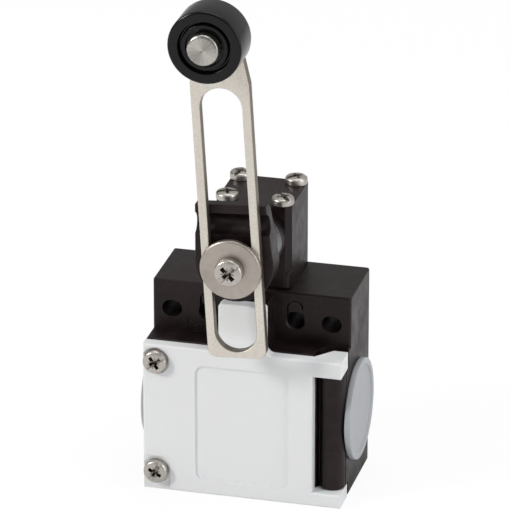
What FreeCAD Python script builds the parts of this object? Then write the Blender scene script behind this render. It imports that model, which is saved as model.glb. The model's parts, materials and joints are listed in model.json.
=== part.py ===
"""Limit switch with an adjustable roller lever, modelled piece by piece in millimetres.

Frame: the origin is midway between the two outer fixing holes, on the rear mounting face.
+X is to the right seen from the front, +Y points to the rear and +Z points up.
"""
import FreeCAD, Part
import math
import os

Vector = FreeCAD.Vector

# ---------------------------------------------------------------- driving dimensions
BODY_HALF_WIDTH = 25.0
BODY_BOTTOM = -44.7
LEDGE_Z = -5.5                 # top of the deep lower part of the body
SHOULDER_TOP = 7.6             # top of the shoulders that hold the fixing holes
SHOULDER_FRONT = -19.8
BODY_FRONT = -26.75
COVER_BACK = -26.8
COVER_FRONT = -29.85

FIXING_SPACING = 40.3
FIXING_SLOT_LENGTH = 5.1
FIXING_HOLE_R = 2.2
INNER_HOLE_X = 11.0
INNER_HOLE_R = 2.15

EDGE_R = 0.6                   # rounding of the moulded edges

HINGE_X = 21.8
HINGE_Y = -24.5
HINGE_BARREL_R = 3.1
HINGE_PIN_R = 1.0
BARREL_TOP = -10.2
BARREL_BOTTOM = -40.9

ENTRY_Y = -13.8
ENTRY_Z = -24.45
ENTRY_R = 9.25                 # core of the M20 x 1.5 thread of a cable entry
PLUG_FLANGE_R = 12.7
PLUG_FLANGE_T = 1.6

HEAD_HALF_WIDTH = 9.5
HEAD_REAR = -0.9
HEAD_FRONT = -18.6
HEAD_TOP = 29.4
HEAD_CHAMFER = 1.4
HEAD_SCREW_X = 7.0
HEAD_SCREW_PITCH_Y = 13.5

AXIS_Z = 20.9                  # height of the cam shaft's axis above the fixing holes
SHAFT_R = 4.0
SHAFT_FLAT = 3.2               # half the distance between the shaft's two drive flats
SHAFT_TAIL_R = 3.1
BOSS_R = 8.2
CAM_R = 6.9
CAM_FLAT = 4.3                 # distance of the cam's flat from the axis
PLUNGER_TRAVEL = 2.6           # CAM_R minus CAM_FLAT
PLUNGER_Y = (HEAD_REAR + HEAD_FRONT) / 2

LEVER_TILT = -3.5              # degrees about +Y: the lever's top leans towards -X at rest
LEVER_BACK = -36.7
LEVER_THICKNESS = 2.5
LEVER_FRONT = LEVER_BACK - LEVER_THICKNESS
LEVER_HALF_WIDTH = 7.3
SLOT_HALF_WIDTH = 5.2
LEVER_FOOT = -23.5             # bottom edge, measured along the lever from the shaft axis
SLOT_FOOT = -21.9
SLOT_TOP = 46.0
ROLLER_DISTANCE = 60.0
TIP_R = 5.0

HUB_BACK = -30.8
HUB_R = 9.8
HUB_TOP = 15.3
TEETH = 36
TOOTH_HEIGHT = 0.8
TOOTH_INNER_R = 5.4

WASHER_R = 7.6
WASHER_T = 1.5

ROLLER_R = 9.0
ROLLER_BACK = -40.3
ROLLER_FRONT = -50.0
PIN_R = 2.5

CAVITY_LEFT = -18.2
CAVITY_RIGHT = 15.4
CAVITY_TOP = -7.5
CAVITY_BOTTOM = -42.3
CAVITY_REAR = -3.0

BLOCK_HALF_WIDTH = 15.0
BLOCK_TOP = -10.0
BLOCK_BOTTOM = -41.6
BLOCK_FRONT = -14.0
CHAMBER_HALF_WIDTH = 7.6
CARRIER_HALF_WIDTH = 2.5
CARRIER_HALF_DEPTH = 3.0
TERMINAL_T = 0.8
TERMINAL_SCREW_X = 11.5
UPPER_CONTACT_Z = -14.9        # contact plane of the upper, normally closed pair
LOWER_CONTACT_Z = -28.5        # contact plane of the lower, normally open pair

RUNNING_GAP = 0.03             # radial clearance of a shaft or pin in its hole
FREE_GAP = 0.1                 # clearance between pieces that only pass each other

WIRE_SIDES = 12                # facets round the wire of a coil spring
# Thread radius: (head radius, head height) of the M3, M3.5 and M4 cheese-head screws.
SCREW_HEADS = {1.5: (2.75, 2.0), 1.75: (3.0, 2.4), 2.0: (3.5, 2.6)}


# ---------------------------------------------------------------- small helpers
def box(x, y, z):
    """A block between pairs of coordinates given as (low, high)."""
    size = (x[1] - x[0], y[1] - y[0], z[1] - z[0])
    return Part.makeBox(*size, Vector(x[0], y[0], z[0]))


def disc_y(radius, front, rear, x=0.0, z=0.0):
    """A cylinder along Y."""
    return Part.makeCylinder(radius, rear - front, Vector(x, front, z), Vector(0, 1, 0))


def disc_z(radius, low, high, x=0.0, y=0.0):
    """A cylinder along Z."""
    return Part.makeCylinder(radius, high - low, Vector(x, y, low))


def disc_x(radius, left, right, y, z):
    """A cylinder along X."""
    return Part.makeCylinder(radius, right - left, Vector(left, y, z), Vector(1, 0, 0))


def join(*shapes):
    solid = shapes[0].multiFuse(list(shapes[1:]))
    return solid.removeSplitter()


def soften(shape, radius, keep=lambda edge: True):
    """Round the edges that keep accepts."""
    return shape.makeFillet(radius, [edge for edge in shape.Edges if keep(edge)])


def soft_block(x, y, z, radius):
    """A moulded block with all its edges rounded."""
    return soften(box(x, y, z), radius)


def lies_in(y):
    """Accept the edges that lie wholly in one Y plane."""
    return lambda edge: max(abs(edge.BoundBox.YMin - y), abs(edge.BoundBox.YMax - y)) < 1e-3


def flared_mouth(radius, x, z, y, depth):
    """A 45 degree cone that breaks the rim of a hole along Y whose mouth faces -Y."""
    return Part.makeCone(radius + depth, radius, depth, Vector(x, y, z), Vector(0, 1, 0))


def outline_xz(edges, front, rear):
    """A plate between two Y planes whose outline is a closed list of edges at y = 0."""
    face = Part.Face(Part.Wire(edges))
    face.translate(Vector(0, front, 0))
    return face.extrude(Vector(0, rear - front, 0))


def polygon_prism(points, direction):
    """A prism swept along direction from a closed polygon of 3-D points."""
    corners = [Vector(*point) for point in points]
    wire = Part.makePolygon(corners + [corners[0]])
    return Part.Face(wire).extrude(Vector(*direction))


def rounded_plate(x, z, radius, front, rear):
    """A plate in the XZ plane with four equally rounded corners."""
    plate = box(x, (front, rear), z)
    upright = [edge for edge in plate.Edges if is_parallel(edge, Vector(0, 1, 0))]
    return plate.makeFillet(radius, upright)


def is_parallel(edge, direction):
    if not isinstance(edge.Curve, Part.Line):
        return False
    return abs(abs(edge.Curve.Direction.dot(direction)) - 1) < 1e-6


def is_round(edge):
    return isinstance(edge.Curve, Part.Circle)


def obround(half_width, low, high, front, rear, x=0.0):
    """An upright slot shape in the XZ plane with full-radius ends."""
    foot = disc_y(half_width, front, rear, x, low + half_width)
    head = disc_y(half_width, front, rear, x, high - half_width)
    middle = box((x - half_width, x + half_width), (front, rear),
                 (low + half_width, high - half_width))
    return join(foot, head, middle)


def on_axis(shape):
    """Move a piece drawn about the origin to the cam shaft's axis."""
    shape.translate(Vector(0, 0, AXIS_Z))
    return shape


def tilted(shape):
    """Lean a piece on the cam shaft's axis to the lever's rest angle."""
    shape.rotate(Vector(0, 0, AXIS_Z), Vector(0, 1, 0), LEVER_TILT)
    return shape


def spring(coil_r, wire_r, low, high, turns, x, y):
    """A compression spring along Z between two heights, wound from a twelve-sided wire."""
    height = high - low - 2 * wire_r
    helix = Part.makeHelix(height / turns, height, coil_r)
    corners = []
    for index in range(WIRE_SIDES):
        angle = 2 * math.pi * index / WIRE_SIDES
        corners.append(Vector(coil_r + wire_r * math.cos(angle), 0, wire_r * math.sin(angle)))
    profile = Part.makePolygon(corners + [corners[0]])
    coil = Part.Wire(helix).makePipeShell([profile], True, True)
    coil.translate(Vector(x, y, low + wire_r))
    return coil


def cheese_head_screw(thread_r, length):
    """A cheese-head screw along -Z from the plane under its head, with a cross recess."""
    head_r, head_h = SCREW_HEADS[thread_r]
    recess_half = 0.52 * head_r
    head = disc_z(head_r, 0, head_h)
    head = soften(head, 0.3 * head_h, lambda edge: edge.BoundBox.ZMin > head_h / 2)
    screw = join(head, disc_z(thread_r, -length, 0))
    for turn in (0, 90):
        wing = box((-recess_half, recess_half), (-0.16 * head_r, 0.16 * head_r),
                   (0.45 * head_h, head_h + 1))
        wing.rotate(Vector(0, 0, 0), Vector(0, 0, 1), turn)
        screw = screw.cut(wing)
    slot = box((-head_r, head_r), (-0.08 * head_r, 0.08 * head_r), (0.7 * head_h, head_h + 1))
    slot.rotate(Vector(0, 0, 0), Vector(0, 0, 1), 45)
    return screw.cut(slot)


def facing_front(screw):
    """Turn a screw drawn along Z so that its head faces the front."""
    screw.rotate(Vector(0, 0, 0), Vector(1, 0, 0), 90)
    return screw


def placed(shape, x, y, z):
    shape.translate(Vector(x, y, z))
    return shape


def save(node, shape):
    if not shape.isValid():
        raise ValueError(node + " is not a valid shape")
    shape.exportStep("parts/" + node + ".step")


# ---------------------------------------------------------------- body and cover
COVER_SCREW_X = -21.7
COVER_SCREW_Z = (-9.9, -39.5)
COVER_SCREW_R = 1.75
COVER_TOP = -5.74
TAB_HALF_WIDTH = 5.85
TAB_TOP = 7.1
NOTCH_X = 17.8                 # the cover's right edge beside the hinge barrel
ARM_TOP_FOOT = -10.0
ARM_BOTTOM_HEAD = -41.1
ARM_REAR = -22.3
ARM_RIGHT = BODY_HALF_WIDTH - 0.1
GASKET_LEFT = -19.9
GASKET_RIGHT = 16.9
GASKET_TOP = -6.4
GASKET_BOTTOM = -43.5
GASKET_WIDTH = 1.2
PANEL_HALF_WIDTH = 11.85
PANEL_TOP = -10.1
PANEL_BOTTOM = -40.9
PANEL_DEPTH = 0.4
CORNER_RECESS_RIGHT = -18.2    # the shallow corner recess round the lower cover screw
CORNER_RECESS_TOP = -35.7
CORNER_RECESS_DEPTH = 0.3
SCREW_SEAT_R = 3.5
SCREW_SEAT_DEPTH = 0.5
PLUNGER_STEM_R = 2.5
SPRING_WELL_R = 5.0
SPRING_WELL_FLOOR = 2.0
HEAD_SCREW_R = 1.5
HEAD_SCREW_LENGTH = 30.0


def head_screw_places():
    half_pitch = HEAD_SCREW_PITCH_Y / 2
    return [(x, PLUNGER_Y + y) for x in (-HEAD_SCREW_X, HEAD_SCREW_X)
            for y in (-half_pitch, half_pitch)]


def fixing_slot(x):
    half_run = FIXING_SLOT_LENGTH / 2 - FIXING_HOLE_R
    through = (SHOULDER_FRONT - 1, 1)
    ends = [disc_y(FIXING_HOLE_R, *through, x=x + side * half_run) for side in (-1, 1)]
    middle = box((x - half_run, x + half_run), through, (-FIXING_HOLE_R, FIXING_HOLE_R))
    return join(middle, *ends)


def inner_fixing_pocket(x):
    """The shallow pocket above an inner hole, with a round island left standing in it."""
    depth = 1.6
    pocket = obround(INNER_HOLE_R, -INNER_HOLE_R, 5.3, SHOULDER_FRONT - 1,
                     SHOULDER_FRONT + depth, x)
    island = disc_y(1.65, SHOULDER_FRONT - 1, SHOULDER_FRONT + depth, x, 3.4)
    return pocket.cut(island)


def arm_pocket(low, high):
    """Room for one hinge arm of the cover and for its swing."""
    swing_r = 4.4
    corner = box((HINGE_X - swing_r, BODY_HALF_WIDTH + 1), (BODY_FRONT - 5, HINGE_Y),
                 (low, high))
    return join(corner, disc_z(swing_r, low, high, HINGE_X, HINGE_Y))


def body_housing():
    width = (-BODY_HALF_WIDTH, BODY_HALF_WIDTH)
    lower = soft_block(width, (BODY_FRONT, 0), (BODY_BOTTOM, LEDGE_Z), EDGE_R)
    shoulders = soft_block(width, (SHOULDER_FRONT, 0), (LEDGE_Z - 5, SHOULDER_TOP), EDGE_R)
    column = soft_block((-TAB_HALF_WIDTH, TAB_HALF_WIDTH), (BODY_FRONT, SHOULDER_FRONT + 2),
                        (LEDGE_Z - 5, TAB_TOP - 0.3), EDGE_R / 2)
    body = join(lower, shoulders, column)

    cavity = box((CAVITY_LEFT, CAVITY_RIGHT), (BODY_FRONT - 1, CAVITY_REAR),
                 (CAVITY_BOTTOM, CAVITY_TOP))
    entries = disc_x(ENTRY_R, -BODY_HALF_WIDTH - 1, BODY_HALF_WIDTH + 1, ENTRY_Y, ENTRY_Z)
    plunger_bore = disc_z(PLUNGER_STEM_R + RUNNING_GAP, CAVITY_TOP - 1, SHOULDER_TOP + 1,
                          0, PLUNGER_Y)
    spring_well = disc_z(SPRING_WELL_R, SPRING_WELL_FLOOR, SHOULDER_TOP + 1, 0, PLUNGER_Y)
    body = body.cut([cavity, plunger_bore, spring_well])

    outer_holes = [fixing_slot(side * FIXING_SPACING / 2) for side in (-1, 1)]
    inner_holes = [disc_y(INNER_HOLE_R, SHOULDER_FRONT - 1, 1, side * INNER_HOLE_X)
                   for side in (-1, 1)]
    pockets = [inner_fixing_pocket(side * INNER_HOLE_X) for side in (-1, 1)]
    ejector_mark = disc_y(1.6, SHOULDER_FRONT - 1, SHOULDER_FRONT + 0.25, -14.9, -2.6)
    mouths = [flared_mouth(INNER_HOLE_R, side * INNER_HOLE_X, 0, SHOULDER_FRONT - 0.01, 0.3)
              for side in (-1, 1)]
    body = body.cut(outer_holes + inner_holes + pockets + mouths + [ejector_mark])

    head_holes = [disc_z(HEAD_SCREW_R + RUNNING_GAP, HEAD_TOP - HEAD_SCREW_LENGTH - 0.5,
                         SHOULDER_TOP + 1, x, y) for x, y in head_screw_places()]
    # These holes leave room for the captive cover screws to swing out with the cover.
    cover_holes = [disc_y(COVER_SCREW_R + 0.45, BODY_FRONT - 1, BODY_FRONT + 8.5,
                          COVER_SCREW_X, z) for z in COVER_SCREW_Z]
    body = body.cut(head_holes + cover_holes)

    hinge_corner = box((NOTCH_X + 0.3, BODY_HALF_WIDTH + 1), (BODY_FRONT - 1, HINGE_Y + 0.6),
                       (BARREL_BOTTOM - 1, BARREL_TOP + 1))
    arm_rooms = [arm_pocket(BARREL_TOP, LEDGE_Z + 1),
                 arm_pocket(BODY_BOTTOM - 1, BARREL_BOTTOM)]
    body = body.cut([hinge_corner] + arm_rooms)
    barrel = disc_z(HINGE_BARREL_R, BARREL_BOTTOM, BARREL_TOP, HINGE_X, HINGE_Y)
    pin_bore = disc_z(HINGE_PIN_R + RUNNING_GAP, BARREL_BOTTOM - 1, BARREL_TOP + 1,
                      HINGE_X, HINGE_Y)
    return join(body, barrel).cut([pin_bore, entries])


def cover_outline():
    """The cover's front outline: a plate with a tab on top and a notch for the hinge barrel."""
    flare = 2.0
    chamfer = 0.8
    left = -BODY_HALF_WIDTH
    right = ARM_RIGHT
    tab = TAB_HALF_WIDTH
    diagonal = flare * (1 - math.sqrt(0.5))

    def flare_arc(side):
        foot = Vector(side * (tab + flare), 0, COVER_TOP)
        middle = Vector(side * (tab + diagonal), 0, COVER_TOP + diagonal)
        head = Vector(side * tab, 0, COVER_TOP + flare)
        return foot, middle, head

    left_foot, left_middle, left_head = flare_arc(-1)
    right_foot, right_middle, right_head = flare_arc(1)
    before = [right_foot, (right, COVER_TOP), (right, ARM_TOP_FOOT), (NOTCH_X, ARM_TOP_FOOT),
              (NOTCH_X, ARM_BOTTOM_HEAD), (right, ARM_BOTTOM_HEAD), (right, BODY_BOTTOM),
              (left, BODY_BOTTOM), (left, COVER_TOP), left_foot]
    above = [left_head, (-tab, TAB_TOP - chamfer), (-tab + chamfer, TAB_TOP),
             (tab - chamfer, TAB_TOP), (tab, TAB_TOP - chamfer), right_head]
    return (chain(before) + [Part.Arc(left_foot, left_middle, left_head).toShape()]
            + chain(above) + [Part.Arc(right_head, right_middle, right_foot).toShape()])


def chain(points):
    """Straight edges through points given as vectors or as (x, z) pairs."""
    corners = [point if isinstance(point, Vector) else Vector(point[0], 0, point[1])
               for point in points]
    return [Part.makeLine(start, end) for start, end in zip(corners, corners[1:])]


def hinge_arm(low, high):
    """The part of a hinge arm that reaches back from the cover's plate round the hinge pin."""
    flare_y = HINGE_Y - 2.0
    points = [(NOTCH_X, COVER_BACK - 1.0, low), (ARM_RIGHT, COVER_BACK - 1.0, low),
              (ARM_RIGHT, ARM_REAR, low), (HINGE_X - 0.4, ARM_REAR, low), (NOTCH_X, flare_y, low)]
    return polygon_prism(points, (0, 0, high - low))


def cover():
    plate = outline_xz(cover_outline(), COVER_FRONT, COVER_BACK)
    plate = soften(plate, 0.5, lies_in(COVER_FRONT))
    arms = [hinge_arm(ARM_TOP_FOOT, COVER_TOP), hinge_arm(BODY_BOTTOM, ARM_BOTTOM_HEAD)]
    shell = join(plate, *arms)

    panel = rounded_plate((-PANEL_HALF_WIDTH, PANEL_HALF_WIDTH), (PANEL_BOTTOM, PANEL_TOP), 2.3,
                          COVER_FRONT - 1, COVER_FRONT + PANEL_DEPTH)
    corner_recess = rounded_plate((-BODY_HALF_WIDTH - 5, CORNER_RECESS_RIGHT),
                                  (BODY_BOTTOM - 5, CORNER_RECESS_TOP), 2.0,
                                  COVER_FRONT - 1, COVER_FRONT + CORNER_RECESS_DEPTH)
    groove = gasket_ring(COVER_BACK - 0.9, COVER_BACK + 1, 0.08)
    pin_bore = disc_z(HINGE_PIN_R + RUNNING_GAP, BODY_BOTTOM - 1, COVER_TOP - 1.2,
                      HINGE_X, HINGE_Y)
    holes = [disc_y(COVER_SCREW_R + 0.15, COVER_FRONT - 1, COVER_BACK + 1, COVER_SCREW_X, z)
             for z in COVER_SCREW_Z]
    seats = [disc_y(SCREW_SEAT_R, COVER_FRONT - 1, COVER_FRONT + SCREW_SEAT_DEPTH,
                    COVER_SCREW_X, z) for z in COVER_SCREW_Z]
    return shell.cut([panel, corner_recess, groove, pin_bore] + holes + seats)


def gasket_ring(front, rear, slack=0.0):
    """The rectangular ring of the cover seal, widened on both sides by the slack."""
    outer = rounded_plate((GASKET_LEFT - slack, GASKET_RIGHT + slack),
                          (GASKET_BOTTOM - slack, GASKET_TOP + slack), 2.0, front, rear)
    inset = GASKET_WIDTH + slack
    inner = rounded_plate((GASKET_LEFT + inset, GASKET_RIGHT - inset),
                          (GASKET_BOTTOM + inset, GASKET_TOP - inset), 1.0,
                          front - 1, rear + 1)
    return outer.cut(inner)


def cover_screws():
    head_plane = COVER_FRONT + SCREW_SEAT_DEPTH
    return Part.makeCompound([
        placed(facing_front(cheese_head_screw(COVER_SCREW_R, 10.5)), COVER_SCREW_X, head_plane, z)
        for z in COVER_SCREW_Z])


def entry_plug(side):
    """A blanking plug for a cable entry; side is +1 on the right and -1 on the left."""
    face_x = side * BODY_HALF_WIDTH
    outer_x = face_x + side * PLUG_FLANGE_T
    inner_x = side * (-CAVITY_LEFT + 0.4)
    flange = disc_x(PLUG_FLANGE_R, *sorted((face_x, outer_x)), y=ENTRY_Y, z=ENTRY_Z)
    flange = soften(flange, EDGE_R / 2, lambda edge: is_round(edge)
                    and abs(edge.BoundBox.Center.x - outer_x) < 1e-3)
    spigot = disc_x(ENTRY_R - FREE_GAP, *sorted((inner_x, face_x)), y=ENTRY_Y, z=ENTRY_Z)
    core = disc_x(ENTRY_R - 2.0, *sorted((inner_x - side, face_x)), y=ENTRY_Y, z=ENTRY_Z)
    dish = disc_x(PLUG_FLANGE_R - 1.6, *sorted((outer_x - side * 0.4, outer_x + side)),
                  y=ENTRY_Y, z=ENTRY_Z)
    return join(flange, spigot).cut([core, dish])


# ---------------------------------------------------------------- head
CHAMBER_FRONT = -13.8          # the cam chamber inside the head
CHAMBER_REAR = -5.7
CHAMBER_R = CAM_R + 0.3
BOSS_FRONT = -22.0
SEAL_REAR = -19.2
SEAL_R = 6.2
HEAD_GASKET_H = 0.75


def head_housing():
    half = HEAD_HALF_WIDTH
    cut = HEAD_CHAMFER
    front_left = (-half, HEAD_FRONT + cut, SHOULDER_TOP)
    points = [front_left, (-half + cut, HEAD_FRONT, SHOULDER_TOP),
              (half - cut, HEAD_FRONT, SHOULDER_TOP), (half, HEAD_FRONT + cut, SHOULDER_TOP),
              (half, HEAD_REAR, SHOULDER_TOP), (-half, HEAD_REAR, SHOULDER_TOP)]
    block = soften(polygon_prism(points, (0, 0, HEAD_TOP - SHOULDER_TOP)), EDGE_R / 2)
    lugs = [soften(disc_z(1.1, SHOULDER_TOP, SHOULDER_TOP + 4.4, side * (half - 1.15),
                          HEAD_FRONT + 1.15), EDGE_R / 2, is_round) for side in (-1, 1)]
    boss = disc_y(BOSS_R, BOSS_FRONT, HEAD_FRONT + 1, 0, AXIS_Z)
    boss = soften(boss, EDGE_R / 2, lies_in(BOSS_FRONT))
    head = join(block, boss, *lugs)

    chamber = box((-CHAMBER_R, CHAMBER_R), (CHAMBER_FRONT, CHAMBER_REAR),
                  (SHOULDER_TOP - 1, AXIS_Z + CHAMBER_R))
    front_bore = disc_y(SHAFT_R + RUNNING_GAP, BOSS_FRONT - 1, CHAMBER_FRONT + 1, 0, AXIS_Z)
    rear_bore = disc_y(SHAFT_TAIL_R + RUNNING_GAP, CHAMBER_REAR - 1, -2.0, 0, AXIS_Z)
    seal_seat = disc_y(SEAL_R, BOSS_FRONT - 1, SEAL_REAR, 0, AXIS_Z)
    screw_holes = [disc_z(HEAD_SCREW_R + FREE_GAP, SHOULDER_TOP - 1, HEAD_TOP + 1, x, y)
                   for x, y in head_screw_places()]
    groove = head_gasket_ring(SHOULDER_TOP - 1, SHOULDER_TOP + HEAD_GASKET_H + 0.05, 0.05)
    return head.cut([chamber, front_bore, rear_bore, seal_seat, groove] + screw_holes)


def head_gasket_ring(low, high, slack=0.0):
    outer = box((-8.6 - slack, 8.6 + slack), (-14.6 - slack, -4.7 + slack), (low, high))
    inner = box((-7.8 + slack, 7.8 - slack), (-13.9 + slack, -5.4 - slack), (low - 1, high + 1))
    return outer.cut(inner)


def head_screws():
    return Part.makeCompound([
        placed(cheese_head_screw(HEAD_SCREW_R, HEAD_SCREW_LENGTH), x, y, HEAD_TOP)
        for x, y in head_screw_places()])


def double_flat(radius, flat, front, rear):
    """A round bar along Y with a flat on its left and right sides."""
    bar = disc_y(radius, front, rear)
    return bar.common(box((-flat, flat), (front, rear), (-radius - 1, radius + 1)))


SHAFT_FRONT = -30.4
COLLAR_REAR = BOSS_FRONT - 0.2
RING_FRONT = CHAMBER_FRONT + 0.1
RING_T = 0.6
CAM_FRONT = RING_FRONT + RING_T + 0.1
CAM_REAR = CHAMBER_REAR - 0.15
CLAMP_SCREW_R = 2.0
CLAMP_SCREW_TIP = -25.0


def cam_shaft():
    nose = double_flat(SHAFT_R, SHAFT_FLAT, SHAFT_FRONT, COLLAR_REAR + 0.05)
    journal = disc_y(SHAFT_R, COLLAR_REAR + 0.05, CHAMBER_FRONT)
    drive = double_flat(SHAFT_R, SHAFT_FLAT, CHAMBER_FRONT, CHAMBER_REAR - 0.1)
    tail = disc_y(SHAFT_TAIL_R, CHAMBER_REAR - 0.1, -2.1)
    shaft = join(nose, journal, drive, tail)
    ring_groove = disc_y(SHAFT_R + 1, RING_FRONT - 0.02, RING_FRONT + RING_T + 0.02)
    ring_groove = ring_groove.cut(disc_y(2.6, CHAMBER_FRONT, CHAMBER_REAR))
    tapped_hole = disc_y(CLAMP_SCREW_R + RUNNING_GAP, SHAFT_FRONT - 1, CLAMP_SCREW_TIP + 1)
    return on_axis(shaft.cut([ring_groove, tapped_hole]))


def cam():
    """A disc with one flat: turning it either way brings its round rim down on the plunger."""
    disc = disc_y(CAM_R, CAM_FRONT, CAM_REAR)
    below_flat = box((-CAM_R, CAM_R), (CAM_FRONT - 1, CAM_REAR + 1), (-CAM_R - 1, -CAM_FLAT))
    bore = double_flat(SHAFT_R + RUNNING_GAP, SHAFT_FLAT + RUNNING_GAP,
                       CAM_FRONT - 1, CAM_REAR + 1)
    return on_axis(disc.cut([below_flat, bore]))


def shaft_retaining_ring():
    ring = disc_y(5.4, RING_FRONT, RING_FRONT + RING_T)
    bore = disc_y(2.65, RING_FRONT - 1, CAM_FRONT + 1)
    mouth = box((-2.3, 2.3), (RING_FRONT - 1, CAM_FRONT + 1), (0, CAM_R))
    return on_axis(ring.cut([bore, mouth]))


def shaft_seal():
    ring = disc_y(SEAL_R - 0.02, BOSS_FRONT + 0.1, SEAL_REAR - 0.1)
    bore = disc_y(SHAFT_R + 0.05, BOSS_FRONT - 1, SEAL_REAR + 1)
    lip_groove = disc_y(5.5, BOSS_FRONT - 1, BOSS_FRONT + 1.2)
    lip_groove = lip_groove.cut(disc_y(4.7, BOSS_FRONT - 2, BOSS_FRONT + 2))
    return on_axis(ring.cut([bore, lip_groove]))


def head_plunger():
    top = AXIS_Z - CAM_R - 0.1
    pad = box((-3.4, 3.4), (PLUNGER_Y - 3.2, PLUNGER_Y + 3.2), (top - 2.0, top))
    flange = disc_z(3.9, top - 3.2, top - 2.0, 0, PLUNGER_Y)
    stem = disc_z(PLUNGER_STEM_R, CAVITY_TOP - 0.4, top - 2.0, 0, PLUNGER_Y)
    return join(pad, flange, stem)


def plunger_spring():
    flange_foot = AXIS_Z - CAM_R - 0.1 - 3.2
    return spring(3.4, 0.35, SPRING_WELL_FLOOR + 0.1, flange_foot - 0.1, 4.5, 0, PLUNGER_Y)


# ---------------------------------------------------------------- lever group
def face_teeth(base_y, height, reach=0.0):
    """Radial teeth about the Y axis that stand up from base_y towards the rear."""
    outer_r = BOSS_R
    inner_r = TOOTH_INNER_R
    teeth = []
    for index in range(TEETH):
        sections = []
        for radius in (inner_r, outer_r):
            half = radius * math.tan(math.pi / TEETH)
            top = base_y + height * radius / outer_r
            corners = [Vector(-half, base_y - reach, radius), Vector(-half, base_y, radius),
                       Vector(0, top, radius), Vector(half, base_y, radius),
                       Vector(half, base_y - reach, radius)]
            sections.append(Part.makePolygon(corners + [corners[0]]))
        tooth = Part.makeLoft(sections, True, True)
        tooth.rotate(Vector(0, 0, 0), Vector(0, 1, 0), index * 360.0 / TEETH)
        teeth.append(tooth)
    return teeth


def index_collar():
    """The toothed collar on the shaft; its teeth set the angle of the lever hub."""
    face_y = HUB_BACK + 0.1
    body = disc_y(BOSS_R, face_y, COLLAR_REAR)
    centre_relief = disc_y(5.6, face_y - 1, face_y + TOOTH_HEIGHT + 0.2)
    grooves = face_teeth(face_y, TOOTH_HEIGHT, reach=0.5)
    collar = tilted(on_axis(body.cut(centre_relief).cut(grooves)))
    bore = double_flat(SHAFT_R + RUNNING_GAP, SHAFT_FLAT + RUNNING_GAP, face_y - 1,
                       COLLAR_REAR + 1)
    return collar.cut(on_axis(bore))


def hub_outline():
    """The hub from the front: a round lower half that runs up into a slightly narrower top."""
    shoulder_z = 2.0
    shoulder_x = math.sqrt(HUB_R ** 2 - shoulder_z ** 2)
    top_x = 8.8
    right_foot = Vector(shoulder_x, 0, shoulder_z)
    right_top = Vector(top_x, 0, HUB_TOP)
    left_top = Vector(-top_x, 0, HUB_TOP)
    left_foot = Vector(-shoulder_x, 0, shoulder_z)
    return [Part.makeLine(right_foot, right_top), Part.makeLine(right_top, left_top),
            Part.makeLine(left_top, left_foot),
            Part.Arc(left_foot, Vector(0, 0, -HUB_R), right_foot).toShape()]


def lever_hub():
    flange = soften(outline_xz(hub_outline(), LEVER_BACK, HUB_BACK), EDGE_R / 2)
    back_slope = polygon_prism([(-12, HUB_BACK + 1, 3.0), (-12, HUB_BACK, 3.0),
                                (-12, HUB_BACK - 2.4, HUB_TOP + 0.1),
                                (-12, HUB_BACK + 1, HUB_TOP + 0.1)], (24, 0, 0))
    channel = disc_x(2.85, -12, 12, LEVER_BACK - 0.65, 10.35)
    top_step = box((-12, 12), (LEVER_BACK + 2.6, HUB_BACK + 1), (HUB_TOP - 1.3, HUB_TOP + 1))
    guide = obround(SLOT_HALF_WIDTH - 0.2, -6.5, 6.5, LEVER_BACK - 2.2, LEVER_BACK)
    bore = disc_y(CLAMP_SCREW_R + FREE_GAP, LEVER_FRONT - 1, HUB_BACK + 1)
    hub = join(flange, guide).cut([back_slope, channel, top_step, bore])
    tooth_seat = disc_y(BOSS_R, HUB_BACK - 1, HUB_BACK)
    tooth_seat = tooth_seat.cut(disc_y(TOOTH_INNER_R, HUB_BACK - 2, HUB_BACK + 1))
    teeth = face_teeth(HUB_BACK, TOOTH_HEIGHT - 0.1, reach=0.5)
    return tilted(on_axis(join(hub, tooth_seat, *teeth)))


def lever_outline():
    """The lever's outer outline: square foot, straight sides, tapered and rounded tip."""
    half = LEVER_HALF_WIDTH
    foot_r = 2.2
    taper_start = 47.0
    drop = ROLLER_DISTANCE - taper_start
    # Tangent from the corner where the taper starts to the tip's circle.
    reach = math.hypot(half, drop)
    lean = math.atan2(half, drop) - math.asin(TIP_R / reach)
    tangent_x = TIP_R * math.cos(lean)
    tangent_z = ROLLER_DISTANCE + TIP_R * math.sin(lean)
    bend = foot_r * (1 - math.sqrt(0.5))
    foot = LEVER_FOOT

    def side(sign):
        return [Vector(sign * (half - foot_r), 0, foot),
                Vector(sign * (half - bend), 0, foot + bend),
                Vector(sign * half, 0, foot + foot_r),
                Vector(sign * half, 0, taper_start),
                Vector(sign * tangent_x, 0, tangent_z)]

    right = side(1)
    left = side(-1)
    crown = Vector(0, 0, ROLLER_DISTANCE + TIP_R)
    return [Part.Arc(*right[0:3]).toShape(), Part.makeLine(right[2], right[3]),
            Part.makeLine(right[3], right[4]), Part.Arc(right[4], crown, left[4]).toShape(),
            Part.makeLine(left[4], left[3]), Part.makeLine(left[3], left[2]),
            Part.Arc(*reversed(left[0:3])).toShape(), Part.makeLine(left[0], right[0])]


def lever():
    plate = outline_xz(lever_outline(), LEVER_FRONT, LEVER_BACK)
    slot = obround(SLOT_HALF_WIDTH, SLOT_FOOT, SLOT_TOP, LEVER_FRONT - 1, LEVER_BACK + 1)
    plate = plate.cut(slot)
    for face_y in (LEVER_FRONT, LEVER_BACK):
        plate = soften(plate, 0.25, lies_in(face_y))
    pin_hole = disc_y(PIN_R + RUNNING_GAP, LEVER_FRONT - 1, LEVER_BACK + 1, 0, ROLLER_DISTANCE)
    return tilted(on_axis(plate.cut(pin_hole)))


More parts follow.
